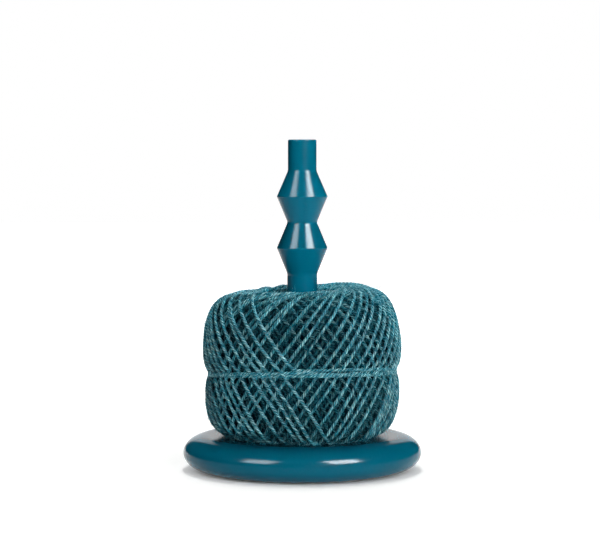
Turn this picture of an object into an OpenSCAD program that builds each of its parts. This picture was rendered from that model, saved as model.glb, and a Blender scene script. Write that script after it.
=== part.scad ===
// String holder: a turned wooden stand with a ball of twine on its post.
// Sizes are in millimetres, Z is up, the stand's axis is the Z axis and the floor is z = 0.

/* [Base] */
// diameter of the base
base_d = 130.2; // [116:0.2:160]
// thickness of the wood of the base
base_t = 18.9; // [16:0.1:24]
// how far the rounding of the edge reaches in from the rim
base_edge = 13.2; // [8:0.1:20]
// margin of the flat underside that is left round the felt pad
felt_inset = 2; // [1.5:0.5:12]
// thickness of the felt
felt_t = 2; // [1.4:0.1:3]
// how far the felt stands out under the base
felt_proud = 0.3; // [0.2:0.1:1]

/* [Post] */
// diameter of the stem that carries the ball
stem_d = 16.4; // [14:0.1:18]
// length of the stem, from the base up to the lower bead
stem_l = 88.3; // [70:0.1:120]
// diameter of a bead at its edge
bead_d = 27.8; // [20:0.1:29]
// height of a bead, both cones together
bead_h = 28; // [18:0.5:34]
// number of beads
bead_count = 2; // [1:1:4]
// diameter of the neck between two beads
neck_d = 16; // [13:0.1:18]
// diameter of the stub above the beads
stub_d = 15.6; // [13:0.1:18]
// length of the stub
stub_l = 17; // [8:0.5:40]
// chamfer on the top edge of the stub
stub_edge = 0.7; // [0.3:0.1:2]

/* [Post fixing] */
// diameter of the tenon on the foot of the post
tenon_d = 12; // [9:0.1:13]
// wood that stays under the tenon
tenon_floor = 7; // [5:0.5:8]
// length of the wood screw, with its head
screw_l = 32; // [25:1:40]
// diameter over the thread
screw_d = 4; // [3:0.1:4.5]
// diameter of the countersunk head
screw_head_d = 7.6; // [6:0.1:8.5]
// distance from one turn of the thread to the next
screw_pitch = 1.8; // [1.4:0.1:2.2]

/* [Twine ball] */
// diameter of the twine
twine_d = 2; // [1.6:0.1:2.1]
// diameter over the upper lobe
ball_top_d = 112.8; // [106:0.2:116]
// diameter over the lower lobe
ball_low_d = 109; // [103:0.2:112]
// height of the ball
ball_h = 80.5; // [74:0.1:90]
// diameter that the strands are drawn in to under the tie
waist_d = 93; // [91:0.5:99]
// height of the waist above the foot of the ball
waist_h = 34.2; // [30:0.1:40]
// diameter of the ring in which the strands turn back, at the top and at the bottom
rim_d = 58; // [54:0.5:62]
// how square the upper shoulder is
top_square = 3.2; // [2.8:0.1:4]
// how square the lower shoulder is
low_square = 4.6; // [3.4:0.1:5]
// turns in the outer layer
loops = 20; // [12:1:20]
// turns of the waist tie
tie_turns = 3; // [2:1:4]
// wall of the inner turns
inner_wall = 3; // [2:0.1:5]

/* [Clearances] */
// room all round the beads when the ball is lifted off
bead_clear = 1.6; // [1:0.1:3]
// room between pieces that move on each other
run_clear = 0.4; // [0.3:0.05:0.8]
// room all round the tenon, for the glue
glue_clear = 0.1; // [0.05:0.05:0.2]
// room at the end of the tenon
glue_room = 0.5; // [0.2:0.1:1]
// room round the felt in its recess
felt_clear = 0.2; // [0.1:0.05:0.5]
// room round the shank of the screw
shank_clear = 0.2; // [0.1:0.05:0.4]

/* [Hidden] */
$fn = 96;

lacquer_teal = [0.02, 0.36, 0.44];
twine_teal = [0.27, 0.55, 0.6];
twine_deep = [0.08, 0.22, 0.27];
felt_dark = [0.1, 0.11, 0.12];
steel = [0.72, 0.73, 0.74];

base_z = felt_proud;
base_top = base_z + base_t;
felt_recess = felt_t - felt_proud;
flat_r = base_d / 2 - base_edge;
pad_d = 2 * (flat_r - felt_inset);
screw_z = base_z + felt_recess;
tenon_l = base_t - felt_recess - tenon_floor - glue_room;
head_h = (screw_head_d - screw_d) / 2 + 0.4;
thread_core = screw_d * 0.7;
pilot_l = screw_l - tenon_floor - glue_room + 2;
bead_z = base_top + stem_l;
stub_z = bead_z + bead_count * bead_h;

hole_r = bead_d / 2 + bead_clear;
foot_z = base_top + run_clear;
waist_z = foot_z + waist_h;
rim_r = rim_d / 2;
level_step = 1.55 * twine_d;
chord_room = 1.2;
core_depth = twine_d + level_step + chord_room + run_clear;
core_bore_r = hole_r + inner_wall + run_clear;
ring_step = 15;
rings = 360 / ring_step;
tie_d = 0.8 * twine_d;
tie_pitch = tie_d + 0.6;

// Outline of the ball: two rounded shoulders that meet in a waist, at an angle w round the rim's circle.
function outline(w) =
    let (up = w >= 0,
        square = up ? top_square : low_square,
        lobe = (up ? ball_top_d : ball_low_d) / 2,
        across = lobe - rim_r,
        tall = up ? ball_h - waist_h : waist_h,
        far = pow(pow(max(0, cos(w)) / across, square) + pow(abs(sin(w)) / tall, square), -1 / square),
        z = far * sin(w),
        pinch = (lobe - waist_d / 2) / (1 + pow(z / (up ? 8 : 6), 2)),
        flank = min(1, cos(w) * 3))
    [rim_r + far * cos(w) - pinch * flank, waist_z + z];

outline_steps = 180;
outline_pts = [for (i = [0:outline_steps]) outline(-90 + 180 * i / outline_steps)];
outline_run = [for (i = 0, s = 0; i <= outline_steps;
    s = s + (i < outline_steps ? norm(outline_pts[i + 1] - outline_pts[i]) : 0), i = i + 1) s];
outline_l = outline_run[outline_steps];
waist_s = outline_run[outline_steps / 2];
table_r = [for (i = [0:outline_steps]) [outline_run[i], outline_pts[i][0]]];
table_z = [for (i = [0:outline_steps]) [outline_run[i], outline_pts[i][1]]];

// A point of the outline by its length along it, moved in by a depth square to the outline.
function on_outline(s) = [lookup(s, table_r), lookup(s, table_z)];
function below_outline(s, depth) =
    let (a = on_outline(max(0, s - 1.5)),
        b = on_outline(min(outline_l, s + 1.5)),
        d = (b - a) / norm(b - a))
    on_outline(s) + depth * [-d[1], d[0]];

function turned(p, angle) = [p[0] * cos(angle), p[0] * sin(angle), p[1]];
function unit(v) = v / norm(v);

// The outer layer: a strand that climbs on the lower level and comes down on the upper one, turn after turn.
function strand(phase) =
    let (s = waist_s + ((sin(phase) > 0 ? outline_l - waist_s : waist_s) - 0.5) * sin(phase),
        depth = twine_d / 2 + (cos(phase) > 0 ? level_step : 0))
    turned(below_outline(s, depth), phase * (1 + 1 / loops));
strand_pts = [for (i = [0:loops * rings - 1]) strand((i + 0.5) * ring_step)];

// The tie: a close helix round the waist, drawn tight over the strands that cross it.
tie_half = tie_pitch * tie_turns / 2 + tie_d;
crossing = [for (k = [0:0.05:1]) strand(172.5) * (1 - k) + strand(187.5) * k];
tie_r = max([for (p = crossing) if (abs(p[2] - waist_z) < tie_half) norm([p[0], p[1]])])
    + (twine_d + tie_d) / 2 + run_clear;
function tie_at(i) = turned([tie_r / cos(ring_step / 2), waist_z + tie_pitch * (i / rings - tie_turns / 2)],
    90 + i * ring_step);
tie_pts = [for (i = [0:tie_turns * rings]) tie_at(i)];

// A six-sided tube along a line of points, closed at both ends.
module tube(pts, d) {
    last = len(pts) - 1;
    sides = 6;
    points = [for (i = [0:last])
        let (along = unit(pts[min(last, i + 1)] - pts[max(0, i - 1)]),
            out = unit([pts[i][0], pts[i][1], 0]),
            side = unit(cross(along, out)),
            up = cross(side, along))
        for (k = [0:sides - 1]) pts[i] + d / 2 * (cos(k * 60) * side + sin(k * 60) * up)];
    walls = [for (i = [0:last - 1], k = [0:sides - 1])
        let (a = i * sides + k, b = i * sides + (k + 1) % sides)
        each [[a, b, b + sides], [a, b + sides, a + sides]]];
    far = last * sides;
    caps = [for (k = [1:sides - 2]) each [[0, k + 1, k], [far, far + k, far + k + 1]]];
    polyhedron(points = points, faces = concat(walls, caps));
}

// Least gap of a tube to itself, measured from one of its turns on points along the line.
fine = 6;
function sampled(pts) = [for (i = [0:len(pts) - 2], k = [0:fine - 1])
    pts[i] + (pts[i + 1] - pts[i]) * k / fine];
function least_gap(pts, turn, d) =
    let (all = sampled(pts),
        from = turn * rings * fine,
        apart = rings * fine / 4)
    min([for (i = [from:from + rings * fine - 1], j = [0:len(all) - 1]) if (abs(i - j) > apart)
        norm(all[i] - all[j])]) - d;

module base() {
    color(lacquer_teal)
    difference() {
        rotate_extrude() translate([0, base_z]) base_half();
        translate([0, 0, base_top - tenon_l - glue_room])
            cylinder(d = tenon_d + 2 * glue_clear, h = tenon_l + glue_room + 1);
        translate([0, 0, base_z - 1]) cylinder(d = pad_d + 2 * felt_clear, h = felt_recess + 1);
        cylinder(d = screw_d + 2 * shank_clear, h = base_top);
        translate([0, 0, screw_z - 0.01])
            cylinder(d1 = screw_head_d + 2 * shank_clear, d2 = screw_d + 2 * shank_clear, h = head_h);
    }
}

module base_half() {
    square([flat_r, base_t]);
    translate([flat_r, base_t / 2]) scale([base_edge, base_t / 2]) circle(r = 1);
}

module post() {
    beads = [for (i = [0:bead_count - 1], k = [0, 1])
        [k == 0 ? (i == 0 ? stem_d : neck_d) / 2 : bead_d / 2, bead_z + (i + k / 2) * bead_h]];
    color(lacquer_teal)
    difference() {
        rotate_extrude() polygon(concat(
            [[0, base_top - tenon_l], [tenon_d / 2, base_top - tenon_l], [tenon_d / 2, base_top],
                [stem_d / 2, base_top]],
            beads,
            [[stub_d / 2, stub_z], [stub_d / 2, stub_z + stub_l - stub_edge],
                [stub_d / 2 - stub_edge, stub_z + stub_l], [0, stub_z + stub_l]]));
        translate([0, 0, base_top - tenon_l - 1]) cylinder(d = thread_core + 2 * glue_clear, h = pilot_l + 1);
    }
}

module post_screw() {
    bite_z = screw_z + tenon_floor + glue_room;
    ridges = floor((screw_l - tenon_floor - glue_room - screw_d) / screw_pitch);
    color(steel)
    difference() {
        union() {
            translate([0, 0, screw_z])
                cylinder(d1 = screw_head_d, d2 = screw_d, h = head_h - shank_clear);
            translate([0, 0, screw_z + 0.5]) cylinder(d = screw_d, h = tenon_floor - 0.5);
            translate([0, 0, screw_z + 1]) cylinder(d = thread_core, h = screw_l - 1 - screw_d);
            translate([0, 0, screw_z + screw_l - screw_d]) cylinder(d1 = thread_core, d2 = 0.4, h = screw_d);
            for (i = [0:ridges - 1]) translate([0, 0, bite_z + i * screw_pitch]) rotate_extrude()
                polygon([[0, 0], [thread_core / 2 - 0.1, 0], [screw_d / 2, screw_pitch * 0.35],
                    [screw_d / 2, screw_pitch * 0.45], [thread_core / 2 - 0.1, screw_pitch * 0.8],
                    [0, screw_pitch * 0.8]]);
        }
        for (a = [0, 90]) rotate(a) translate([-screw_d / 2, -0.5, screw_z - 1]) cube([screw_d, 1, 2.2]);
    }
}

module felt_pad() {
    color(felt_dark) cylinder(d = pad_d, h = felt_t);
}

module twine_inner_turns() {
    color(twine_deep)
    translate([0, 0, foot_z])
    difference() {
        cylinder(r = hole_r + inner_wall, h = ball_h - core_depth);
        translate([0, 0, -1]) cylinder(r = hole_r, h = ball_h);
    }
}

module twine_core() {
    side = [for (i = [0:24]) below_outline(outline_l * (0.06 + 0.88 * i / 24), core_depth)];
    foot_r = rim_r - twine_d;
    color(twine_deep)
    rotate_extrude() polygon(concat([[core_bore_r, foot_z], [foot_r, foot_z], [foot_r, side[0][1]]], side,
        [[core_bore_r, side[24][1]]]));
}

module twine_winding() {
    echo(least_gap_of_the_winding = least_gap(strand_pts, floor(loops / 2), twine_d));
    color(twine_teal) tube(strand_pts, twine_d);
}

module waist_tie() {
    echo(least_gap_of_the_tie = least_gap(tie_pts, 1, tie_d));
    color(twine_teal) tube(tie_pts, tie_d);
}

base();
post();
post_screw();
felt_pad();
twine_inner_turns();
twine_core();
twine_winding();
waist_tie();
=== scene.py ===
import math
import bmesh
import bpy
import numpy as np
from mathutils import Matrix


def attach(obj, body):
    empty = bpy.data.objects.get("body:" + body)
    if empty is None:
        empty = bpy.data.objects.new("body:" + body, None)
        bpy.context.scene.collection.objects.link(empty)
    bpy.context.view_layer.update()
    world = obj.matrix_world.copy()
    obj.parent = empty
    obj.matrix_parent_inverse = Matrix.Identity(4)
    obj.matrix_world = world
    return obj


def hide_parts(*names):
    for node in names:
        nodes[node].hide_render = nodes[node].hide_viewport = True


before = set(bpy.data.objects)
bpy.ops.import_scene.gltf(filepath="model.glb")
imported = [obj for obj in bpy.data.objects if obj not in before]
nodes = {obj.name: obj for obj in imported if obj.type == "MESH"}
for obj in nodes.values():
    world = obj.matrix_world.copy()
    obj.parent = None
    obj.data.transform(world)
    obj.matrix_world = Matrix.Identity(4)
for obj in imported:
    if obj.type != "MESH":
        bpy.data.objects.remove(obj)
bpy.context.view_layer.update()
mm = 0.001
print("frame loaded with", len(nodes), "nodes")


# sRGB hex to the linear colour that the shader sockets take
def hexColour(text):
    parts = [int(text[i:i + 2], 16) / 255 for i in (1, 3, 5)]
    return [c / 12.92 if c <= 0.04045 else ((c + 0.055) / 1.055) ** 2.4 for c in parts] + [1.0]


# adds a node, sets its properties and sockets, and links a socket where the value is another socket
def addNode(tree, kind, settings=None, **sockets):
    made = tree.nodes.new(kind)
    for key, value in (settings or {}).items():
        setattr(made, key, value)
    for key, value in sockets.items():
        name = key.replace("_", " ")
        socket = made.inputs[int(name[5:])] if name.startswith("input") else made.inputs[name]
        if isinstance(value, bpy.types.NodeSocket):
            tree.links.new(value, socket)
        else:
            socket.default_value = value
    return made


def newMaterial(name):
    made = bpy.data.materials.new(name)
    made.use_nodes = True
    return made, made.node_tree, made.node_tree.nodes["Principled BSDF"]


# smooth-shaded piece with one finish, on its body, in place of the CAD nodes that it replaces
def placePiece(name, mesh, body, material, replaced=()):
    mesh.polygons.foreach_set("use_smooth", [True] * len(mesh.polygons))
    mesh.materials.clear()
    mesh.materials.append(material)
    piece = bpy.data.objects.new(name, mesh)
    bpy.context.scene.collection.objects.link(piece)
    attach(piece, body)
    if replaced:
        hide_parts(*replaced)


# camera, fitted to the outline of the base and the post in the photo
photoView = {
    "distance": 1.2, "height": 0.1759, "pitchDeg": 3.38, "focalPx": 2201.6, "widthPx": 600, "axisPx": 302.2,
    "sensorMm": 36.0,
}
cameraData = bpy.data.cameras.new("photoCamera")
cameraData.sensor_fit = "HORIZONTAL"
cameraData.sensor_width = photoView["sensorMm"]
cameraData.lens = photoView["focalPx"] / photoView["widthPx"] * photoView["sensorMm"]
cameraData.shift_x = (photoView["widthPx"] / 2 - photoView["axisPx"]) / photoView["widthPx"]
cameraData.clip_start = 0.01
camera = bpy.data.objects.new("photoCamera", cameraData)
camera.location = (0, -photoView["distance"], photoView["height"])
camera.rotation_euler = (math.radians(90 - photoView["pitchDeg"]), 0, 0)
bpy.context.scene.collection.objects.link(camera)
bpy.context.scene.camera = camera

# Studio: a gridded softbox from the front right, feathered upwards, a weak one from the left, a small one
# overhead and a weak fill from behind; azimuth 0 is the camera's side. The gloss shows the bare cloth of
# two front boxes.
softLights = {
    "softRight": {"azimuth": 23, "elevation": 10, "size": (0.9, 0.25), "watts": 2.35,
                  "aim": 0.34, "spread": 46},
    "softLeft": {"azimuth": -45, "elevation": 13, "size": (0.9, 0.6), "watts": 0.5,
                 "aim": 0.1, "spread": 180},
    "softTop": {"azimuth": 180, "elevation": 80, "size": (0.34, 0.34), "watts": 15,
                "aim": 0.1, "spread": 180},
    "softBack": {"azimuth": 180, "elevation": 14, "size": (1.0, 0.9), "watts": 6,
                 "aim": 0.1, "spread": 180},
    "glintRight": {"azimuth": 44, "elevation": 33, "size": (1.0, 0.7), "watts": 148,
                   "aim": 0.1, "spread": 180},
    "glintLeft": {"azimuth": -46, "elevation": 33, "size": (1.0, 0.7), "watts": 66,
                  "aim": 0.1, "spread": 180},
}
lampRing = {"distance": 1.5, "centreZ": 0.1, "clothFade": 0.24}
for name, box in softLights.items():
    lampData = bpy.data.lights.new(name, "AREA")
    lampData.shape = "RECTANGLE"
    lampData.size, lampData.size_y = box["size"]
    lampData.energy = box["watts"]
    lampData.spread = math.radians(box["spread"])
    if name.startswith("glint"):    # the cloth of the box fades towards its sides
        lampData.use_nodes = True
        tree = lampData.node_tree
        place = addNode(tree, "ShaderNodeNewGeometry").outputs["Parametric"]
        across = addNode(tree, "ShaderNodeSeparateXYZ", None, Vector=place).outputs["X"]
        aside = addNode(tree, "ShaderNodeMath", {"operation": "PINGPONG"}, input0=across, input1=0.5)
        fade = addNode(tree, "ShaderNodeMapRange", {"interpolation_type": "SMOOTHSTEP"},
                       Value=aside.outputs[0], From_Min=0.0, From_Max=lampRing["clothFade"])
        tree.links.new(fade.outputs[0], tree.nodes["Emission"].inputs["Strength"])
    lamp = bpy.data.objects.new(name, lampData)
    azimuth, elevation = math.radians(box["azimuth"]), math.radians(box["elevation"])
    flat = math.cos(elevation) * lampRing["distance"]
    lamp.location = (flat * math.sin(azimuth), -flat * math.cos(azimuth),
                     lampRing["centreZ"] + math.sin(elevation) * lampRing["distance"])
    drop = math.atan2(lamp.location.z - box["aim"], flat)    # how far the box tips down
    lamp.rotation_euler = (math.pi / 2 - drop, 0, azimuth)
    lamp.visible_diffuse = name.startswith("soft")
    lamp.visible_glossy = name.startswith("glint")
    bpy.context.scene.collection.objects.link(lamp)

# white surroundings and paper floor, in metres: the floor glows white to the camera and to reflections,
# more with the distance from the object. Close round the base the glow fades out to a painted contact
# shadow over the lamps' real shadow, and the lacquer mirrors it too.
surround = {
    "ambient": 0.05, "floorColour": "#d8d8d6", "liftNear": 0.48, "liftFar": 1.0,
    "touch": 0.05, "clear": 0.066, "near": 0.08, "far": 0.4, "floorHalf": 4.0, "paperEnd": 0.4,
}


# one value where the camera or a reflection looks at the surface, another where it only lights the object
def seenOrLit(tree, seen, lit):
    path = addNode(tree, "ShaderNodeLightPath")
    anyOf = addNode(tree, "ShaderNodeMath", {"operation": "MAXIMUM"}, input0=path.outputs["Is Camera Ray"],
                    input1=path.outputs["Is Glossy Ray"])
    anyOf = addNode(tree, "ShaderNodeMath", {"operation": "MAXIMUM"}, input0=anyOf.outputs[0],
                    input1=path.outputs["Is Transmission Ray"])
    mixed = addNode(tree, "ShaderNodeMapRange", None, Value=anyOf.outputs[0], To_Min=lit, To_Max=seen)
    return mixed.outputs[0]


world = bpy.data.worlds.new("whiteStudio")
world.use_nodes = True
bpy.context.scene.world = world
sky = world.node_tree.nodes["Background"]
sky.inputs["Color"].default_value = (1, 1, 1, 1)
world.node_tree.links.new(seenOrLit(world.node_tree, 1.0, surround["ambient"]), sky.inputs["Strength"])

floorMaterial, tree, shader = newMaterial("whitePaperSweep")
shader.inputs["Base Color"].default_value = hexColour(surround["floorColour"])
shader.inputs["Roughness"].default_value = 0.9
shader.inputs["Specular IOR Level"].default_value = 0.0
shader.inputs["Emission Color"].default_value = (1, 1, 1, 1)
place = addNode(tree, "ShaderNodeTexCoord").outputs["Object"]
away = addNode(tree, "ShaderNodeVectorMath", {"operation": "LENGTH"}, input0=place).outputs["Value"]
# painted contact shadow: the floor's glow fades to nothing close round the base
paintedContactShadow = addNode(tree, "ShaderNodeMapRange", {"interpolation_type": "SMOOTHSTEP"}, Value=away,
                  From_Min=surround["touch"], From_Max=surround["clear"],
                  To_Min=0.0, To_Max=surround["liftNear"])
lift = addNode(tree, "ShaderNodeMapRange", None, Value=away,
               From_Min=surround["near"], From_Max=surround["far"],
               To_Min=paintedContactShadow.outputs[0], To_Max=surround["liftFar"])
tree.links.new(seenOrLit(tree, lift.outputs[0], 0.0), shader.inputs["Emission Strength"])
bm = bmesh.new()
bmesh.ops.create_grid(bm, x_segments=1, y_segments=1, size=surround["floorHalf"])
bmesh.ops.bisect_plane(bm, geom=bm.verts[:] + bm.edges[:] + bm.faces[:], clear_outer=True,
                       plane_co=(0, -surround["paperEnd"], 0), plane_no=(0, -1, 0))
floorMesh = bpy.data.meshes.new("floor")
bm.to_mesh(floorMesh)
bm.free()
floorMesh.materials.append(floorMaterial)
floor = bpy.data.objects.new("floor", floorMesh)
bpy.context.scene.collection.objects.link(floor)

# unlit room, open only behind the object, which the front and the edges of the lacquer reflect
room = {"half": 1.6, "front": 2.6, "back": 1.7, "opening": 0.5, "low": -0.02, "high": 3.0}
roomMaterial, tree, shader = newMaterial("darkRoomWall")
shader.inputs["Base Color"].default_value = hexColour("#202020")
shader.inputs["Roughness"].default_value = 1.0
shader.inputs["Specular IOR Level"].default_value = 0.0
bm = bmesh.new()
plan = [(room["opening"], room["back"]), (room["half"], 0), (room["half"], -room["front"]),
        (-room["half"], -room["front"]), (-room["half"], 0), (-room["opening"], room["back"])]
corners = [bm.verts.new((x, y, room["low"])) for x, y in plan]
bmesh.ops.contextual_create(bm, geom=corners)
walls = [e for e in bm.edges if min(v.co.y for v in e.verts) <= 0]    # all but the open side
raised = bmesh.ops.extrude_edge_only(bm, edges=walls)["geom"]
ceiling = [g for g in raised if isinstance(g, bmesh.types.BMVert)]
bmesh.ops.translate(bm, verts=ceiling, vec=(0, 0, room["high"]))
bmesh.ops.contextual_create(bm, geom=ceiling)
roomMesh = bpy.data.meshes.new("darkRoom")
bm.to_mesh(roomMesh)
bm.free()
roomMesh.materials.append(roomMaterial)
darkRoom = bpy.data.objects.new("darkRoom", roomMesh)
darkRoom.visible_camera = False
darkRoom.visible_diffuse = False
bpy.context.scene.collection.objects.link(darkRoom)
print("camera and studio set")

waveRate = 20    # radians of a wave texture in one unit, at scale 1


# two colours mixed by a factor, as the finish's base colour
def tintBetween(tree, shader, factor, first, second):
    tint = addNode(tree, "ShaderNodeMix", {"data_type": "RGBA"}, Factor=factor)
    tint.inputs[6].default_value = hexColour(first)
    tint.inputs[7].default_value = hexColour(second)
    tree.links.new(tint.outputs[2], shader.inputs["Base Color"])


# Lacquered beech: sprayed opaque lacquer over turned wood, which gives a deep even teal with soft-edged
# glints, a faint orange peel and, close by, the fine rings of the turning under it.
lacquer = {
    "colour": "#006a85", "shade": "#00657e", "roughness": 0.15, "smear": 0.04, "ior": 1.2,
    "cloudMm": 14, "smearMm": 5, "peelMm": 1.6, "ringMm": 0.9,
}
lacquerMaterial, tree, shader = newMaterial("turnedBeechTealLacquer")
place = addNode(tree, "ShaderNodeTexCoord").outputs["Object"]
cloud = addNode(tree, "ShaderNodeTexNoise", None, Vector=place, Detail=3.0,
                Scale=1 / (lacquer["cloudMm"] * mm))
tintBetween(tree, shader, cloud.outputs["Fac"], lacquer["colour"], lacquer["shade"])
smear = addNode(tree, "ShaderNodeTexNoise", None, Vector=place, Detail=2.0,
                Scale=1 / (lacquer["smearMm"] * mm))
gloss = addNode(tree, "ShaderNodeMapRange", None, Value=smear.outputs["Fac"],
                To_Min=lacquer["roughness"] - lacquer["smear"],
                To_Max=lacquer["roughness"] + lacquer["smear"])
tree.links.new(gloss.outputs[0], shader.inputs["Roughness"])
shader.inputs["IOR"].default_value = lacquer["ior"]
peel = addNode(tree, "ShaderNodeTexNoise", None, Vector=place, Detail=1.0,
               Scale=1 / (lacquer["peelMm"] * mm))
peelBump = addNode(tree, "ShaderNodeBump", None, Strength=0.05, Distance=0.05 * mm,
                   Height=peel.outputs["Fac"])
rings = addNode(tree, "ShaderNodeTexWave", {"wave_type": "BANDS", "bands_direction": "Z"}, Vector=place,
                Scale=1 / (lacquer["ringMm"] * mm) / waveRate, Distortion=0.6, Detail=1.0)
ringBump = addNode(tree, "ShaderNodeBump", None, Strength=0.03, Distance=0.03 * mm,
                   Height=rings.outputs["Fac"], Normal=peelBump.outputs[0])
tree.links.new(ringBump.outputs[0], shader.inputs["Normal"])

# Zinc-plated steel: a drawn and rolled wood screw, bright and a little cloudy.
screwMaterial, tree, shader = newMaterial("zincPlatedSteelRolled")
shader.inputs["Metallic"].default_value = 1.0
place = addNode(tree, "ShaderNodeTexCoord").outputs["Object"]
haze = addNode(tree, "ShaderNodeTexNoise", None, Vector=place, Scale=1 / (0.8 * mm), Detail=3.0)
tintBetween(tree, shader, haze.outputs["Fac"], "#c9cbcc", "#aeb1b4")
gloss = addNode(tree, "ShaderNodeMapRange", None, Value=haze.outputs["Fac"], To_Min=0.25, To_Max=0.42)
tree.links.new(gloss.outputs[0], shader.inputs["Roughness"])

# Pressed wool felt: matted short fibres, dull and flecked.
feltMaterial, tree, shader = newMaterial("pressedWoolFelt")
place = addNode(tree, "ShaderNodeTexCoord").outputs["Object"]
fleck = addNode(tree, "ShaderNodeTexNoise", None, Vector=place, Scale=1 / (0.7 * mm), Detail=6.0)
tintBetween(tree, shader, fleck.outputs["Fac"], "#15181a", "#34393c")
shader.inputs["Roughness"].default_value = 0.95
shader.inputs["Specular IOR Level"].default_value = 0.2
bump = addNode(tree, "ShaderNodeBump", None, Strength=0.6, Distance=0.3 * mm, Height=fleck.outputs["Fac"])
tree.links.new(bump.outputs[0], shader.inputs["Normal"])


# Dyed bast twine: hard-twisted plies of long fibres. The fibres leave fine pale and dark streaks along it,
# and the dye takes a little unevenly along the strand. Painted shade darkens the grooves between the plies,
# with a faint painted highlight on their crowns, and darkens and dulls the strands that lie deeper.
def twineFinish(name, dark, middle, light):
    made, tree, shader = newMaterial(name)
    lay = addNode(tree, "ShaderNodeAttribute", {"attribute_name": "lay"})
    streak = addNode(tree, "ShaderNodeTexNoise", None, Vector=lay.outputs["Vector"], Scale=2.4, Detail=3.0)
    patch = addNode(tree, "ShaderNodeTexNoise", None, Vector=lay.outputs["Vector"], Scale=0.5, Detail=2.0)
    shade = addNode(tree, "ShaderNodeMath", {"operation": "MULTIPLY_ADD"}, input0=patch.outputs["Fac"],
                    input1=0.5, input2=-0.25)
    shade = addNode(tree, "ShaderNodeMath", {"operation": "ADD"}, input0=streak.outputs["Fac"],
                    input1=shade.outputs[0])
    ramp = addNode(tree, "ShaderNodeValToRGB", None, Fac=shade.outputs[0])
    ramp.color_ramp.elements[0].position = 0.36
    ramp.color_ramp.elements[0].color = hexColour(dark)
    ramp.color_ramp.elements[1].position = 0.66
    ramp.color_ramp.elements[1].color = hexColour(light)
    ramp.color_ramp.elements.new(0.5).color = hexColour(middle)
    ply = addNode(tree, "ShaderNodeAttribute", {"attribute_name": "ply"})
    # painted shade in the grooves between the plies and a faint painted highlight on their crowns
    paintedGrooveShade = addNode(tree, "ShaderNodeMapRange", None, Value=ply.outputs["Fac"],
                     From_Min=-0.9, From_Max=0.8, To_Min=0.35, To_Max=1.1)
    sunk = addNode(tree, "ShaderNodeAttribute", {"attribute_name": "sunk"})
    # painted shade: strands darker the deeper they lie below the outermost ones, and at the foot of the
    # ball
    shadow = addNode(tree, "ShaderNodeMapRange", None, Value=sunk.outputs["Fac"],
                     From_Min=0.8, From_Max=1.8, To_Min=1.0, To_Max=0.42)
    fleck = addNode(tree, "ShaderNodeTexNoise", None, Vector=lay.outputs["Vector"], Scale=6.5, Detail=1.0)
    fleck = addNode(tree, "ShaderNodeMapRange", None, Value=fleck.outputs["Fac"],
                    From_Min=0.3, From_Max=0.7, To_Min=0.6, To_Max=1.35)
    tone = addNode(tree, "ShaderNodeMath", {"operation": "MULTIPLY"}, input0=paintedGrooveShade.outputs[0],
                   input1=shadow.outputs[0])
    tone = addNode(tree, "ShaderNodeMath", {"operation": "MULTIPLY"}, input0=tone.outputs[0],
                   input1=fleck.outputs[0])
    toned = addNode(tree, "ShaderNodeVectorMath", {"operation": "SCALE"}, input0=ramp.outputs["Color"],
                    Scale=tone.outputs[0])
    tree.links.new(toned.outputs[0], shader.inputs["Base Color"])
    shader.inputs["Roughness"].default_value = 0.4
    # painted shade on the gloss: strands that lie deeper shine less
    paintedShadeGloss = addNode(tree, "ShaderNodeMapRange", None, Value=sunk.outputs["Fac"],
                    From_Min=0.2, From_Max=1.4, To_Min=0.06, To_Max=0.005)
    tree.links.new(paintedShadeGloss.outputs[0], shader.inputs["Specular IOR Level"])
    bump = addNode(tree, "ShaderNodeBump", None, Strength=0.5, Distance=0.12 * mm,
                   Height=streak.outputs["Fac"])
    tree.links.new(bump.outputs[0], shader.inputs["Normal"])
    return made


twineMaterial = twineFinish("dyedBastTwineTwisted", "#015466", "#309ab0", "#a4e0e6")
# under layers: the same twine in darker colours, painted shade of the layers beneath the outer turns
innerShadedMaterial = twineFinish("dyedBastTwineInnerShaded", "#005264", "#218094", "#70bcc6")

# Heart of the ball: close-packed layers of the same twine, coloured far darker than the twine as painted
# shade of the deep layers, with darker ridges between the strands.
heartShadedMaterial, tree, shader = newMaterial("dyedBastTwinePackedShaded")
place = addNode(tree, "ShaderNodeTexCoord").outputs["Object"]
ridges = addNode(tree, "ShaderNodeTexWave", {"wave_type": "BANDS", "bands_direction": "Z"}, Vector=place,
                 Scale=1 / (2 * mm) / waveRate, Distortion=3.0, Detail=2.0)
tintBetween(tree, shader, ridges.outputs["Fac"], "#002a35", "#0d5262")
shader.inputs["Roughness"].default_value = 0.8
shader.inputs["Specular IOR Level"].default_value = 0.05
bump = addNode(tree, "ShaderNodeBump", None, Strength=0.8, Distance=0.8 * mm, Height=ridges.outputs["Fac"])
tree.links.new(bump.outputs[0], shader.inputs["Normal"])
print("finishes made")

# The ball, in millimetres: barrel outline with two shoulders and lips that turn down into the hole.
ball = {
    "topR": 55.2, "lowR": 53.6, "rimR": 29.0, "footZ": 19.3, "topZ": 99.5, "middleZ": 53.6,
    "topSquare": 3.2, "lowSquare": 3.9, "lipIn": 13.0, "lipDown": 10.0, "lobeBlend": 9.0,
    "turns": 192, "turnsPerLap": 48, "lapShift": 0.38, "lastAzimuth": -95.5, "tangentR": 24.0, "seed": 11,
    "twineR": 1.0, "packing": 0.88, "layerSpread": 2.2, "sink": 0.62,
    "tieZ": 53.5, "tieFront": 4.4, "tieSide": 1.0, "tieDip": 1.3, "tieDipWidth": 3.2,
    "pinch": 1.4, "pinchWidth": 7.5, "topLean": 1.6, "frontDrop": 3.4,
    # the last two: height and strength of the painted shade on the strands at the foot, next to the base
    "lowestZ": 20.25, "footTop": 27.0, "paintedFootShade": 2.0,
}
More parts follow.
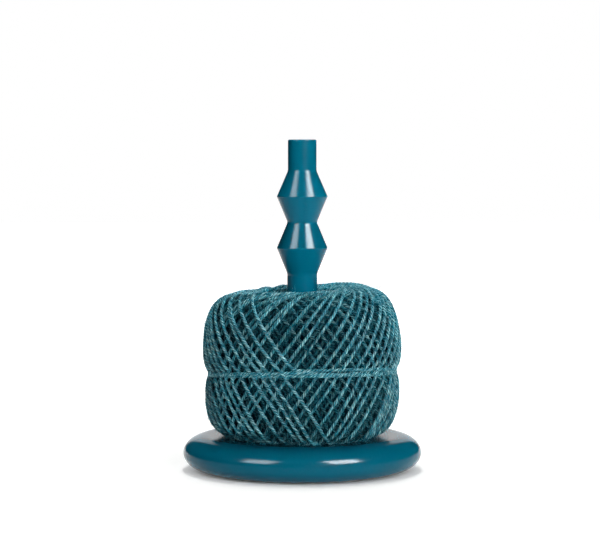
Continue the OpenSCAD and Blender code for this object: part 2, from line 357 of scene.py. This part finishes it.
# how unevenly it is wound: spread and slow wave of the rim circles, first turns nearer to the hole, turns
# that stray in azimuth, and the wander of a strand in waves of some lengths
uneven = {
    "rim": 0.6, "rimWave": 1.2, "rimRate": 2.4, "firstIn": 2.5, "firstShare": 1.4, "astray": 0.006,
    "wander": 0.17, "waves": 3, "shortest": 8, "longest": 24, "phases": 6.3,
}
grid = 0.5            # step along the outline
strandStep = 0.6      # step along a strand while it is laid
cellsAround = 540     # cells of the height map around the ball


# points of the outline from the lip of the hole at the top, down the side, to the lip at the bottom
def ballOutline():
    lip = np.radians(np.linspace(90, 0, 40))
    lipR, lipDrop = ball["rimR"] - ball["lipIn"] * np.sin(lip), ball["lipDown"] * (1 - np.cos(lip))
    w = np.radians(np.linspace(90, -90, 721))[1:-1]
    up = w >= 0
    z = np.zeros_like(w)
    r = np.zeros_like(w)
    lobes = ((up, ball["topSquare"], ball["topR"], ball["topZ"] - ball["middleZ"]),
             (~up, ball["lowSquare"], ball["lowR"], ball["middleZ"] - ball["footZ"]))
    for half, square, widest, tall in lobes:
        across, rise = np.cos(w[half]) / (widest - ball["rimR"]), np.abs(np.sin(w[half])) / tall
        far = (across ** square + rise ** square) ** (-1 / square)
        r[half] = ball["rimR"] + far * np.cos(w[half])
        z[half] = ball["middleZ"] + far * np.sin(w[half])
    step = (ball["topR"] - ball["lowR"]) / 2    # the two lobes run into each other at the waist
    r -= np.where(up, 1, -1) * step * np.exp(-np.abs(z - ball["middleZ"]) / ball["lobeBlend"])
    top = np.stack([lipR, ball["topZ"] - lipDrop], 1)
    foot = np.stack([lipR, ball["footZ"] + lipDrop], 1)[::-1]
    return np.concatenate([top, np.stack([r, z], 1), foot])


def smoothed(values, kernel):
    half = len(kernel) // 2
    return np.convolve(np.concatenate([[values[0]] * half, values, [values[-1]] * half]), kernel, "valid")


# run along a line of points, from its start
def runAlong(points):
    return np.concatenate([[0], np.cumsum(np.linalg.norm(np.diff(points, axis=0), axis=1))])


def middleOf(kernel, start, end):
    return kernel[start:end] / kernel[start:end].sum()


# the outline in even steps, with its radius, its height and its outward direction
line = ballOutline()
run = np.concatenate([[0], np.cumsum(np.hypot(*np.diff(line, axis=0).T))])
even = np.arange(0, run[-1], grid)
lineR, lineZ = np.interp(even, run, line[:, 0]), np.interp(even, run, line[:, 1])
slopeR, slopeZ = np.gradient(lineR, even), np.gradient(lineZ, even)
blur = np.exp(-np.linspace(-2, 2, 25) ** 2)
blur /= blur.sum()
outR, outZ = smoothed(-slopeZ, blur), smoothed(slopeR, blur)
length = np.hypot(outR, outZ)
outR, outZ = outR / length, outZ / length


# one half turn, from the rim circle at one end of the ball to the other: a straight line across the flat
# end, then a steady slope down the side; gives the run along the outline and the azimuth
def halfTurn(rStart, rEnd, angle):
    middle = np.argmax(lineR)
    sStart = np.interp(-rStart, -lineR[:middle][::-1], even[:middle][::-1])
    sEnd = np.interp(-rEnd, -lineR[middle:], even[middle:])
    count = 400
    tau = (np.arange(count) + 0.5) / count * math.pi
    s = (sStart + sEnd) / 2 - (sEnd - sStart) / 2 * np.cos(tau)
    ds = (sEnd - sStart) / 2 * np.sin(tau) * math.pi / count
    r = np.interp(s, even, lineR)
    near = np.where(s < even[middle], rStart, rEnd)
    taut = near / (r * np.sqrt(np.maximum(r * r - near * near, 0.02 * near))) * ds
    side = np.interp(s, even, 1 - outZ ** 2) * ds
    share = (angle - taut.sum()) / side.sum()
    return s, np.cumsum(taut + share * side)


# upper edge of a taut line over the bumps under it
def tautOver(t, bumps):
    kept = []
    for i in range(len(t)):
        while len(kept) > 1:
            a, b = kept[-2], kept[-1]
            if (bumps[b] - bumps[a]) * (t[i] - t[a]) <= (bumps[i] - bumps[a]) * (t[b] - t[a]):
                kept.pop()
            else:
                break
        kept.append(i)
    return np.interp(t, t[kept], bumps[kept])


def pointsAt(s, az, r):
    return np.stack([r * np.cos(az), r * np.sin(az), np.interp(s, even, lineZ)], 1)


# lays the strand turn by turn on a height map of the ball, so that later turns bridge earlier ones
def layTurns():
    rng = np.random.default_rng(ball["seed"])
    cell = 2 * math.pi / cellsAround
    height = np.zeros((len(even), cellsAround))
    radius = ball["twineR"] * ball["packing"]
    precession = 2 * math.pi / (ball["turnsPerLap"] + ball["lapShift"])    # a lap falls between strands
    reach = np.array([(i, j) for i in range(-2, 3) for j in range(-5, 6)])
    turns = []
    azimuth = 0.0
    count = np.arange(2 * ball["turns"] + 2)
    rims = ball["tangentR"] + rng.normal(0, uneven["rim"], len(count))
    rims = rims + uneven["rimWave"] * np.sin(count * uneven["rimRate"])
    rims -= uneven["firstIn"] * np.clip(1 - count / len(count) * uneven["firstShare"], 0, 1)
    astray = rng.normal(0, uneven["astray"], len(count))
    for turn in range(ball["turns"]):
        parts = []
        for half in (0, 1):
            a, b = rims[2 * turn + half], rims[2 * turn + half + 1]
            angle = math.pi + precession / 2 + astray[2 * turn + half + 1] - astray[2 * turn + half]
            s, turned = halfTurn(a, b, angle) if half == 0 else halfTurn(b, a, angle)
            if half:
                s, turned = s[::-1], turned[-1] - turned[::-1]
            parts.append((s, azimuth + turned))
            azimuth += turned[-1]
        s = np.concatenate([p[0] for p in parts])
        az = np.concatenate([p[1] for p in parts])
        r = np.interp(s, even, lineR)
        t = runAlong(pointsAt(s, az, r))
        fine = np.arange(0, t[-1], strandStep)
        s, az, r = np.interp(fine, t, s), np.interp(fine, t, az), np.interp(fine, t, r)
        wander = 0
        for wave in range(uneven["waves"]):
            strength = rng.normal(0, uneven["wander"])
            long = rng.uniform(uneven["shortest"], uneven["longest"])
            wander = wander + strength * np.sin(fine / long + rng.uniform(0, uneven["phases"]))
        az = az + wander / r
        normal = np.stack([np.interp(s, even, outR) * np.cos(az), np.interp(s, even, outR) * np.sin(az),
                           np.interp(s, even, outZ)], 1)
        spot = pointsAt(s, az, r)
        bend = -(np.gradient(np.gradient(spot, strandStep, axis=0), strandStep, axis=0) * normal).sum(1)
        bend = np.clip(smoothed(bend, blur), 0.004, 0.06)    # curvature of the ball along the strand
        row = np.round(s / grid).astype(int)[:, None] + reach[None, :, 0]
        column = np.round(az / cell).astype(int)[:, None] + reach[None, :, 1]
        away = (row * grid - s[:, None]) ** 2 + ((column * cell - az[:, None]) * r[:, None]) ** 2
        rise = np.sqrt(np.maximum(radius ** 2 - away, 0))
        inside = (away < radius ** 2) & (row >= 0) & (row < len(even))
        row, column = np.clip(row, 0, len(even) - 1), column % cellsAround
        bumps = np.where(inside, height[row, column] + rise, 0).max(1)
        pull = np.cumsum(np.cumsum(bend)) * strandStep * strandStep
        level = tautOver(fine, bumps - pull) + pull
        level = np.maximum(smoothed(level, middleOf(blur, 8, 17)), bumps - 0.15)
        np.maximum.at(height, (row[inside], column[inside]), (level[:, None] + rise)[inside])
        turns.append([s, az, level])
    return turns


# turns the whole ball so that its last strand reaches the tie where the photo shows it; gives the point
def turnToPhoto(turns):
    lastS, lastAz = turns[-1][:2]
    atWaist = np.argmax(np.interp(lastS, even, lineZ) < ball["tieZ"] + ball["tieFront"] + 2)
    shift = math.radians(ball["lastAzimuth"])
    shift -= lastAz[atWaist]
    for turn in turns:
        turn[1] = turn[1] + shift
    return atWaist


# height of the outermost strands along the outline, and how much the build-up under them is pressed
def buildUp(outer):
    topS = np.concatenate([turn[0] for turn in outer])
    topLevel = np.concatenate([turn[2] for turn in outer])
    wide = 4
    starts = np.arange(0, even[-1] + wide, wide)
    known = [a for a in starts if ((topS >= a) & (topS < a + wide)).sum() > 20]
    found = [topLevel[(topS >= a) & (topS < a + wide)] for a in known]
    ranks = np.array([np.percentile(levels, (10, 85, 95)) for levels in found])
    middles = np.array(known) + wide / 2
    flat = np.repeat(1 / 21, 21)
    crest = smoothed(np.interp(even, middles, ranks[:, 1]), flat) + ball["twineR"]
    spread = smoothed(np.interp(even, middles, ranks[:, 2] - ranks[:, 0]), flat)
    return crest, np.minimum(ball["sink"], ball["layerSpread"] / spread)


lap = ball["turnsPerLap"]
turns = layTurns()
lastPoint = turnToPhoto(turns)
outer, under = turns[-lap:], turns[:-lap]
crest, squeeze = buildUp(outer)
print("laid", len(turns), "turns; build-up", round(float(crest.max()), 1), "mm")


def tieHeight(az):
    return ball["tieZ"] - ball["tieFront"] * np.sin(az) + ball["tieSide"] * np.cos(az)


# 0 to 1 while a value goes from the start over a width
def ramped(value, start, width):
    return np.clip((value - start) / width, 0, 1)


# place in space of a strand at a run along the outline, an azimuth and a level in the build-up, and its
# painted shade: how far it lies below the outermost strands, plus more painted shade at the foot, where the
# ball sits on the base
def onBall(s, az, level):
    sunk = (np.interp(s, even, crest) - level - ball["twineR"]) * np.interp(s, even, squeeze)
    depth = sunk + ball["twineR"]
    nr, nz = np.interp(s, even, outR), np.interp(s, even, outZ)
    z = np.interp(s, even, lineZ)
    waist = (z - tieHeight(az)) / ball["pinchWidth"]
    tie = (z - tieHeight(az)) / ball["tieDipWidth"]
    depth = depth + (ball["pinch"] / (1 + waist ** 2) + ball["tieDip"] * np.exp(-tie ** 2)) * nr ** 2
    r = np.interp(s, even, lineR) - nr * depth
    lean = ball["topLean"] * np.cos(az) * ramped(z, 80, 20) * ramped(r, 20, 15)
    front = np.clip(-np.sin(az), 0, 1)
    lean = lean - ball["frontDrop"] * front * ramped(r, 36, 10) * ramped(-z, -40, 14)
    height = np.maximum(z - nz * depth + lean, ball["lowestZ"])
    # painted shade: darker the deeper the strand lies, and darker still towards the foot next to the base
    shade = sunk + ball["paintedFootShade"] * ramped(-height, -ball["footTop"], ball["footTop"] - ball["lowestZ"])
    return np.stack([r * np.cos(az), r * np.sin(az), height, shade], 1)


# the twine: three plies, twisted once in each lay length, with a slow and a quick swelling along it
twine = {"middle": 0.8, "ply": 0.13, "plies": 3, "lay": 6.2, "slowSwell": 0.05, "slowMm": 9.0,
         "quickSwell": 0.03, "quickMm": 3.7, "grain": 0.18, "grainApart": 31.0}


def plyProfile(points, name):
    data = bpy.data.curves.new(name, "CURVE")
    data.dimensions = "2D"
    spline = data.splines.new("POLY")
    spline.points.add(points - 1)
    for i, point in enumerate(spline.points):
        angle = 2 * math.pi * i / points
        far = (twine["middle"] + twine["ply"] * math.cos(twine["plies"] * angle)) * ball["twineR"] * mm
        point.co = (far * math.cos(angle), far * math.sin(angle), 0, 1)
    spline.use_cyclic_u = True
    made = bpy.data.objects.new(name, data)
    bpy.context.scene.collection.objects.link(made)
    return made


# strands swept along lists of points in millimetres; a fourth number of a point is its painted shade, kept
# as the attribute sunk
def twistedStrands(name, strands, profile, material, body, replaced=(), thickness=1.0):
    data = bpy.data.curves.new(name, "CURVE")
    data.dimensions = "3D"
    data.bevel_mode = "OBJECT"
    data.bevel_object = profile
    data.use_fill_caps = True
    data.twist_mode = "MINIMUM"
    coordinates, plies, depths = [], [], []
    sides = len(profile.data.splines[0].points)
    around = 2 * math.pi * np.arange(sides) / sides
    for index, points in enumerate(strands):
        spline = data.splines.new("POLY")
        spline.points.add(len(points) - 1)
        flat = np.ones((len(points), 4))
        depth = points[:, 3] if points.shape[1] > 3 else np.zeros(len(points))
        points = points[:, :3]
        flat[:, :3] = points * mm
        spline.points.foreach_set("co", flat.ravel())
        along = runAlong(points)
        spline.points.foreach_set("tilt", -along / twine["lay"] * 2 * math.pi)
        slow = twine["slowSwell"] * np.sin(along / twine["slowMm"] + index)
        quick = twine["quickSwell"] * np.sin(along / twine["quickMm"] + 2 * index)
        spline.points.foreach_set("radius", thickness * (1 + slow + quick))
        ring = np.zeros((len(points), sides, 3))
        ring[:, :, 0] = along[:, None] * twine["grain"] + twine["grainApart"] * index
        ring[:, :, 1] = np.cos(around)[None, :]
        ring[:, :, 2] = np.sin(around)[None, :]
        coordinates.append(ring.reshape(-1, 3))
        plies.append(np.tile(np.cos(twine["plies"] * around), len(points)))
        depths.append(np.repeat(depth, sides))
    holder = bpy.data.objects.new(name + "Path", data)
    bpy.context.scene.collection.objects.link(holder)
    ready = bpy.context.evaluated_depsgraph_get()
    mesh = bpy.data.meshes.new_from_object(holder.evaluated_get(ready))
    mesh.name = name
    bpy.data.objects.remove(holder)
    caps = 2 * len(strands)    # the rings come first in the mesh, then the caps
    lay = mesh.attributes.new("lay", "FLOAT_VECTOR", "POINT")
    lay.data.foreach_set("vector", np.concatenate(coordinates + [coordinates[-1][-sides:]] * caps).ravel())
    for key, values in (("ply", plies), ("sunk", depths)):
        marked = mesh.attributes.new(key, "FLOAT", "POINT")
        marked.data.foreach_set("value", np.concatenate(values + [values[-1][-sides:]] * caps))
    bm = bmesh.new()
    bm.from_mesh(mesh)
    bmesh.ops.remove_doubles(bm, verts=bm.verts, dist=1e-7)
    bmesh.ops.recalc_face_normals(bm, faces=bm.faces)
    bm.to_mesh(mesh)
    bm.free()
    placePiece(name, mesh, body, material, replaced)


def resampled(points, step):
    t = runAlong(points[:, :3])
    wanted = np.arange(0, t[-1], step)
    return np.stack([np.interp(wanted, t, column) for column in points.T], 1)


def joined(group):
    return np.concatenate([onBall(*turn) for turn in group])


fineProfile = plyProfile(12, "fineProfile")
plainProfile = plyProfile(6, "plainProfile")
third = lap // 3
groups = {
    "twineOuterTurnsA": outer[:third],
    "twineOuterTurnsB": outer[third:2 * third],
    "twineOuterTurnsC": outer[2 * third:lap - 1],    # all but the last, which becomes the tie
}
for name, group in groups.items():
    twistedStrands(name, [resampled(joined(group), 0.8)], fineProfile, twineMaterial, "ball",
                   ("twine_winding",))
layers = {
    "twineUnderTurnsA": under[:lap],
    "twineUnderTurnsB": under[lap:2 * lap],
    "twineUnderTurnsC": under[2 * lap:],
}
for name, group in layers.items():
    twistedStrands(name, [resampled(joined(group), 1.2)], plainProfile, innerShadedMaterial, "ball",
                   ("twine_core",))

# the last strand comes down to the waist, turns into the tie and goes round it, and its end is tucked in
# shade: a little painted shade on the tie's strand, which dims its gloss
tie = {
    "wraps": 2.3, "radius": 51.0, "start": 0.03, "firstUp": 1.3, "spacing": 1.35, "shade": 0.55,
    "waver": 0.25, "waverRate": 2.3, "ripple": 0.12, "rippleRate": 9,
    "sag": 0.8, "sagAt": 6.7, "sagWidth": 0.25, "tuck": 22.0, "tuckIn": 2.6,
}
lastS, lastAz, lastLevel = turns[-1]
start = onBall(lastS[:lastPoint], lastAz[:lastPoint], lastLevel[:lastPoint])
wrapped = np.arange(0, tie["wraps"] * 2 * math.pi, 0.8 / tie["radius"])
tieAz = lastAz[lastPoint] + tie["start"] + wrapped
tieUp = tie["firstUp"] - tie["spacing"] * wrapped / (2 * math.pi)
tieUp = tieUp + tie["waver"] * np.sin(wrapped * tie["waverRate"])
# a slack place, right of the middle
tieUp -= tie["sag"] * np.exp(-((wrapped - tie["sagAt"]) / tie["sagWidth"]) ** 2)
toEnd = (wrapped[-1] - wrapped) * tie["radius"]
tieR = tie["radius"] - tie["tuckIn"] * np.clip(1 - toEnd / tie["tuck"], 0, 1) ** 2
tieR = tieR + tie["ripple"] * np.sin(wrapped * tie["rippleRate"])
around = np.stack([tieR * np.cos(tieAz), tieR * np.sin(tieAz), tieHeight(tieAz) + tieUp,
                   0 * tieAz + tie["shade"]], 1)
path = resampled(np.concatenate([start, around]), 0.5)
path = np.stack([smoothed(column, middleOf(blur, 4, 21)) for column in path.T], 1)
twistedStrands("waistTie", [resampled(path, 0.7)], fineProfile, twineMaterial, "ball",
               ("waist_tie",))

# innermost turns, close-wound round the hole
lining = {"radius": 17.0, "low": 20.6, "high": 90.4, "pitch": 2.02, "step": 1.2}
windings = (lining["high"] - lining["low"]) / lining["pitch"]
wound = np.arange(0, windings * 2 * math.pi, lining["step"] / lining["radius"])
liningR = lining["radius"] + 0.15 * np.sin(wound * 1.7) + 0.12 * np.sin(wound * 0.37)
coil = np.stack([liningR * np.cos(wound), liningR * np.sin(wound),
                 lining["low"] + wound / (2 * math.pi) * lining["pitch"]], 1)
twistedStrands("holeLining", [coil], plainProfile, innerShadedMaterial, "ball_carrier",
               ("twine_inner_turns",))

# first turns of the ball, close-wound under both lips of the hole
# shade: painted shade on the lip turns, down in the hole
lip = {"near": 18.4, "far": 29.0, "pitch": 1.9, "below": 2.9, "step": 1.2, "shade": 1.0}
windings = (lip["far"] - lip["near"]) / lip["pitch"]
wound = np.arange(0, windings * 2 * math.pi, lip["step"] / lip["near"])
lipR = lip["near"] + wound / (2 * math.pi) * lip["pitch"] + 0.12 * np.sin(wound * 1.3)
across = np.clip((ball["rimR"] - lipR) / ball["lipIn"], 0, 1)
dip = ball["lipDown"] * (1 - np.sqrt(1 - across ** 2)) + lip["below"]
lipTurns = [np.stack([lipR * np.cos(wound), lipR * np.sin(wound), z, 0 * wound + lip["shade"]], 1)
            for z in (ball["topZ"] - dip, ball["footZ"] + dip)]
twistedStrands("lipTurns", lipTurns, plainProfile, innerShadedMaterial, "ball", ("twine_core",))

# loose fibres that stand off the outer turns
fuzz = {
    "count": 4000, "shortest": 1.2, "longest": 4.0, "thickness": 0.05, "curl": 0.5, "outward": 0.7,
    "root": 0.7, "clear": 34.0, "centreZ": 58, "every": 7, "seed": 3,
}
rng = np.random.default_rng(fuzz["seed"])
spots = joined(outer[:-1])[::fuzz["every"], :3]
spots = spots[np.hypot(spots[:, 0], spots[:, 1]) > fuzz["clear"]]    # none at the hole
share = np.linspace(0, 1, 5)[:, None]
hairs = []
for spot in spots[rng.integers(0, len(spots), fuzz["count"])]:
    outward = spot - [0, 0, fuzz["centreZ"]]
    outward /= np.linalg.norm(outward)
    lean = rng.normal(0, 1, 3) + fuzz["outward"] * outward
    lean /= np.linalg.norm(lean)
    curl = rng.normal(0, fuzz["curl"], 3)
    long = rng.uniform(fuzz["shortest"], fuzz["longest"])
    hairs.append(spot + outward * fuzz["root"] + long * (lean * share + curl * share * share))
hairProfile = plyProfile(3, "hairProfile")
twistedStrands("twineFuzz", hairs, hairProfile, twineMaterial, "ball", (), fuzz["thickness"])
for profile in (fineProfile, plainProfile, hairProfile):
    bpy.data.objects.remove(profile)
print("strands swept")

turning = {"steps": 160, "longMm": 1.2, "holdMm": 0.25}


# rounds each corner of a profile of (radius, height, rounding) in millimetres and turns it round the axis
def turnedPiece(name, corners, body, material, replaced, closed=False, stretch=None):
    bm = bmesh.new()
    points = [bm.verts.new((r * mm, 0, z * mm)) for r, z, rounding in corners]
    for a, b in zip(points, points[1:] + points[:1] if closed else points[1:]):
        bm.edges.new((a, b))
    for point, (r, z, rounding) in zip(points, corners):
        if rounding:
            bmesh.ops.bevel(bm, geom=[point], offset=rounding * mm, offset_type="OFFSET", profile=0.5,
                            segments=6 + int(2 * rounding), affect="VERTICES", material=-1)
    if stretch:    # draws a round edge out to an ellipse, from a radius on
        bmesh.ops.scale(bm, verts=[v for v in bm.verts if v.co.x > stretch[0] * mm], vec=(stretch[1], 1, 1),
                        space=Matrix.Translation((-stretch[0] * mm, 0, 0)))
    for edge in list(bm.edges):    # holds the flat of each long face up to its rounded ends
        long = edge.calc_length()
        if long > turning["longMm"] * mm:
            bmesh.utils.edge_split(edge, edge.verts[0], turning["holdMm"] * mm / long)
            bmesh.utils.edge_split(edge, edge.verts[1], turning["holdMm"] * mm / edge.calc_length())
    bmesh.ops.spin(bm, geom=bm.verts[:] + bm.edges[:], cent=(0, 0, 0), axis=(0, 0, 1), angle=2 * math.pi,
                   steps=turning["steps"], use_merge=True)
    bmesh.ops.remove_doubles(bm, verts=bm.verts, dist=1e-6)
    bmesh.ops.recalc_face_normals(bm, faces=bm.faces)
    mesh = bpy.data.meshes.new(name)
    bm.to_mesh(mesh)
    bm.free()
    placePiece(name, mesh, body, material, replaced)


# post, from the tenon in the base to the stub at the top
post = {
    "tenonR": 6.0, "tenonZ": 9.5, "seatZ": 19.22, "stemR": 8.2, "beadsZ": 107.5, "beadR": 13.9,
    "coneH": 14.0, "neckR": 8.0, "stubR": 7.8, "topZ": 180.5,
}
coneZ = [post["beadsZ"] + i * post["coneH"] for i in range(5)]
postCorners = [
    (0, post["tenonZ"], 0), (post["tenonR"], post["tenonZ"], 0.3), (post["tenonR"], post["seatZ"], 0),
    (post["stemR"], post["seatZ"], 0), (post["stemR"], coneZ[0], 1.2), (post["beadR"], coneZ[1], 0.45),
    (post["neckR"], coneZ[2], 0.9), (post["beadR"], coneZ[3], 0.45), (post["stubR"], coneZ[4], 0.9),
    (post["stubR"], post["topZ"], 0.8), (0, post["topZ"], 0),
]
turnedPiece("turnedPost", postCorners, "stand", lacquerMaterial, ("post",))

# base, with an edge that is half an ellipse, the recess for the felt and the holes for tenon and screw
base = {
    "radius": 65.1, "low": 0.3, "high": 19.2, "edge": 13.2, "recess": 50.1, "recessTop": 2.0,
    "tenonHoleR": 6.1, "tenonHoleZ": 9.0, "screwHoleR": 2.2,
}
edgeHigh = (base["high"] - base["low"]) / 2
flatR = base["radius"] - base["edge"]
baseCorners = [
    (base["screwHoleR"], base["recessTop"], 0), (base["recess"], base["recessTop"], 0),
    (base["recess"], base["low"], 0.2), (flatR + edgeHigh, base["low"], edgeHigh),
    (flatR + edgeHigh, base["high"], edgeHigh), (base["tenonHoleR"], base["high"], 0),
    (base["tenonHoleR"], base["tenonHoleZ"], 0), (base["screwHoleR"], base["tenonHoleZ"], 0),
]
turnedPiece("turnedBase", baseCorners, "stand", lacquerMaterial, ("base",), True,
            (flatR, base["edge"] / edgeHigh))

# felt disc, with a hole for the screw's head
felt = {"holeR": 4.2, "radius": 49.9, "top": 1.98}
feltCorners = [
    (felt["holeR"], 0.0, 0), (felt["radius"], 0.0, 0.15), (felt["radius"], felt["top"], 0.1),
    (felt["holeR"], felt["top"], 0),
]
turnedPiece("feltDisc", feltCorners, "stand", feltMaterial, ("felt_pad",), closed=True)

# packed twine behind the strands, well inside the outline
heartCorners = [
    (19.5, 31.0, 1), (33.0, 25.0, 6), (38.0, 34.0, 6), (37.5, 54.0, 8), (39.0, 82.0, 8), (31.0, 89.0, 6),
    (19.5, 84.0, 1),
]
turnedPiece("ballHeart", heartCorners, "ball", heartShadedMaterial, ("twine_core",), closed=True)
nodes["post_screw"].data.materials.clear()
nodes["post_screw"].data.materials.append(screwMaterial)
print("stand turned")

bpy.context.scene.view_settings.view_transform = "Standard"
